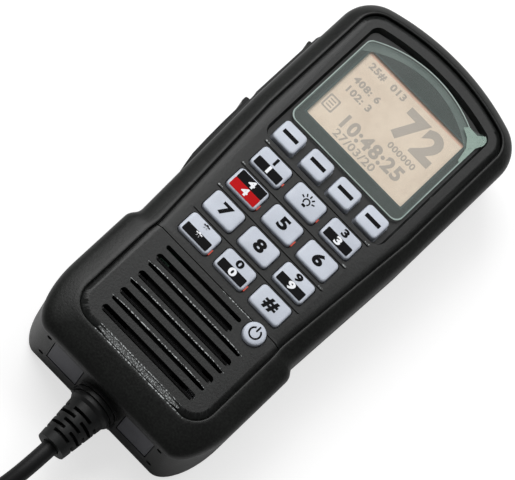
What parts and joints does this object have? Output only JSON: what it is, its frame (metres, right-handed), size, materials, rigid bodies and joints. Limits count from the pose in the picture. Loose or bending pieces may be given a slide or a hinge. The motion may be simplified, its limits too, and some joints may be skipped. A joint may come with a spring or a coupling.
{
  "type": "marine radio handset",
  "caption": "Black marine VHF fist-microphone handset: amber display, grey rubber keypad, slotted speaker grille, side talk lever and a coiled-away round cable with a screw plug",
  "frame": {"origin": "centre of the footprint of the handset, its boot included, on the bench it lies on, face up; the cord and plug are not counted", "axes": "+X to the right across the face, +Y from the cable end to the display end, +Z out of the face"},
  "size_m": [0.1027, 0.3256, 0.037],
  "materials": {
    "key_silicone": "satin moulded silicone",
    "housing_black": "fine spark texture",
    "panel_black": "fine moulded texture",
    "rubber_black": "matt moulded rubber",
    "window_clear": "clear with dark printed border",
    "film_clear": "thin clear film",
    "lcd_glass": "pale amber display",
    "backlight_diffuser": "white diffuser",
    "frame_white": "plain moulded",
    "board_green": "solder mask",
    "chip_black": "moulded",
    "steel_bright": "plain spring steel",
    "steel_plain": "zinc plated",
    "ferrite": "ground ferrite",
    "cone_paper": "pressed paper",
    "mesh_fabric": "fine woven mesh",
    "capsule_aluminium": "drawn can",
    "brass_plain": "machined",
    "cord_black": "extruded jacket",
    "tie_black": "soft strip",
    "plug_black": "moulded"
  },
  "bodies": {
    "handset": {"backlight": "backlight_diffuser", "board_chips": "chip_black", "cable_boot": "rubber_black", "cable_gland": "rubber_black", "cord_coil": "cord_black", "cord_lead": "cord_black", "cord_tie": "tie_black", "end_plates": "panel_black", "face_panel": "panel_black", "front_shell": "housing_black", "grille_panel": "panel_black", "hanger_insert": "brass_plain", "housing_screws": "steel_plain", "key_mat": "key_silicone", "lcd_frame": "frame_white", "lcd_glass": "lcd_glass", "lens_gasket": "rubber_black", "main_board": "board_green", "mic_boot": "rubber_black", "mic_capsule": "capsule_aluminium", "plug_boot": "rubber_black", "plug_core": "chip_black", "plug_pins": "brass_plain", "plug_shell": "plug_black", "ptt_pin": "steel_plain", "ptt_switch": "chip_black", "rear_shell": "housing_black", "screen_film": "film_clear", "shell_gasket": "rubber_black", "side_bezel": "panel_black", "side_membrane": "rubber_black", "side_switch": "chip_black", "snap_domes": "steel_bright", "speaker_cone": "cone_paper", "speaker_frame": "steel_plain", "speaker_magnet": "ferrite", "speaker_mesh": "mesh_fabric", "switch_board": "board_green", "window_lens": "window_clear"},
    "key_first_left_body": {"key_first_left": "key_silicone"},
    "key_first_middle_body": {"key_first_middle": "key_silicone"},
    "key_first_right_body": {"key_first_right": "key_silicone"},
    "key_fourth_left_body": {"key_fourth_left": "key_silicone"},
    "key_fourth_middle_body": {"key_fourth_middle": "key_silicone"},
    "key_fourth_right_body": {"key_fourth_right": "key_silicone"},
    "key_second_left_body": {"key_second_left": "key_silicone"},
    "key_second_middle_body": {"key_second_middle": "key_silicone"},
    "key_second_right_body": {"key_second_right": "key_silicone"},
    "key_third_left_body": {"key_third_left": "key_silicone"},
    "key_third_middle_body": {"key_third_middle": "key_silicone"},
    "key_third_right_body": {"key_third_right": "key_silicone"},
    "power_key_body": {"power_key": "key_silicone"},
    "soft_key_1_body": {"soft_key_1": "key_silicone"},
    "soft_key_2_body": {"soft_key_2": "key_silicone"},
    "soft_key_3_body": {"soft_key_3": "key_silicone"},
    "soft_key_4_body": {"soft_key_4": "key_silicone"},
    "ptt_lever_body": {"ptt_lever": "rubber_black"},
    "side_key_body": {"side_key": "rubber_black"},
    "plug_nut_body": {"plug_nut": "plug_black"}
  },
  "joints": [
    {"name": "key_first_left_press", "type": "slide", "parent": "handset", "child": "key_first_left_body", "axis": [0, 0, -1], "range_m": [0, 0.0008], "stiffness_N_per_m": 400},
    {"name": "key_first_middle_press", "type": "slide", "parent": "handset", "child": "key_first_middle_body", "axis": [0, 0, -1], "range_m": [0, 0.0008], "stiffness_N_per_m": 400},
    {"name": "key_first_right_press", "type": "slide", "parent": "handset", "child": "key_first_right_body", "axis": [0, 0, -1], "range_m": [0, 0.0008], "stiffness_N_per_m": 400},
    {"name": "key_fourth_left_press", "type": "slide", "parent": "handset", "child": "key_fourth_left_body", "axis": [0, 0, -1], "range_m": [0, 0.0008], "stiffness_N_per_m": 400},
    {"name": "key_fourth_middle_press", "type": "slide", "parent": "handset", "child": "key_fourth_middle_body", "axis": [0, 0, -1], "range_m": [0, 0.0008], "stiffness_N_per_m": 400},
    {"name": "key_fourth_right_press", "type": "slide", "parent": "handset", "child": "key_fourth_right_body", "axis": [0, 0, -1], "range_m": [0, 0.0008], "stiffness_N_per_m": 400},
    {"name": "key_second_left_press", "type": "slide", "parent": "handset", "child": "key_second_left_body", "axis": [0, 0, -1], "range_m": [0, 0.0008], "stiffness_N_per_m": 400},
    {"name": "key_second_middle_press", "type": "slide", "parent": "handset", "child": "key_second_middle_body", "axis": [0, 0, -1], "range_m": [0, 0.0008], "stiffness_N_per_m": 400},
    {"name": "key_second_right_press", "type": "slide", "parent": "handset", "child": "key_second_right_body", "axis": [0, 0, -1], "range_m": [0, 0.0008], "stiffness_N_per_m": 400},
    {"name": "key_third_left_press", "type": "slide", "parent": "handset", "child": "key_third_left_body", "axis": [0, 0, -1], "range_m": [0, 0.0008], "stiffness_N_per_m": 400},
    {"name": "key_third_middle_press", "type": "slide", "parent": "handset", "child": "key_third_middle_body", "axis": [0, 0, -1], "range_m": [0, 0.0008], "stiffness_N_per_m": 400},
    {"name": "key_third_right_press", "type": "slide", "parent": "handset", "child": "key_third_right_body", "axis": [0, 0, -1], "range_m": [0, 0.0008], "stiffness_N_per_m": 400},
    {"name": "power_key_press", "type": "slide", "parent": "handset", "child": "power_key_body", "axis": [0, 0, -1], "range_m": [0, 0.0008], "stiffness_N_per_m": 400},
    {"name": "soft_key_1_press", "type": "slide", "parent": "handset", "child": "soft_key_1_body", "axis": [0, 0, -1], "range_m": [0, 0.0008], "stiffness_N_per_m": 400},
    {"name": "soft_key_2_press", "type": "slide", "parent": "handset", "child": "soft_key_2_body", "axis": [0, 0, -1], "range_m": [0, 0.0008], "stiffness_N_per_m": 400},
    {"name": "soft_key_3_press", "type": "slide", "parent": "handset", "child": "soft_key_3_body", "axis": [0, 0, -1], "range_m": [0, 0.0008], "stiffness_N_per_m": 400},
    {"name": "soft_key_4_press", "type": "slide", "parent": "handset", "child": "soft_key_4_body", "axis": [0, 0, -1], "range_m": [0, 0.0008], "stiffness_N_per_m": 400},
    {"name": "ptt_press", "type": "hinge", "parent": "handset", "child": "ptt_lever_body", "pos_m": [-0.03348, -0.00025, 0.01875], "axis": [0, 0, -1], "range_deg": [0, 2.6], "stiffness_Nm_per_rad": 0.6},
    {"name": "side_key_press", "type": "slide", "parent": "handset", "child": "side_key_body", "axis": [1, 0, 0], "range_m": [0, 0.0008], "stiffness_N_per_m": 400},
    {"name": "plug_nut_turn", "type": "hinge", "parent": "handset", "child": "plug_nut_body", "pos_m": [0.05112, -0.13035, 0.0102], "axis": [0, 1, 0], "continuous": true}
  ]
}
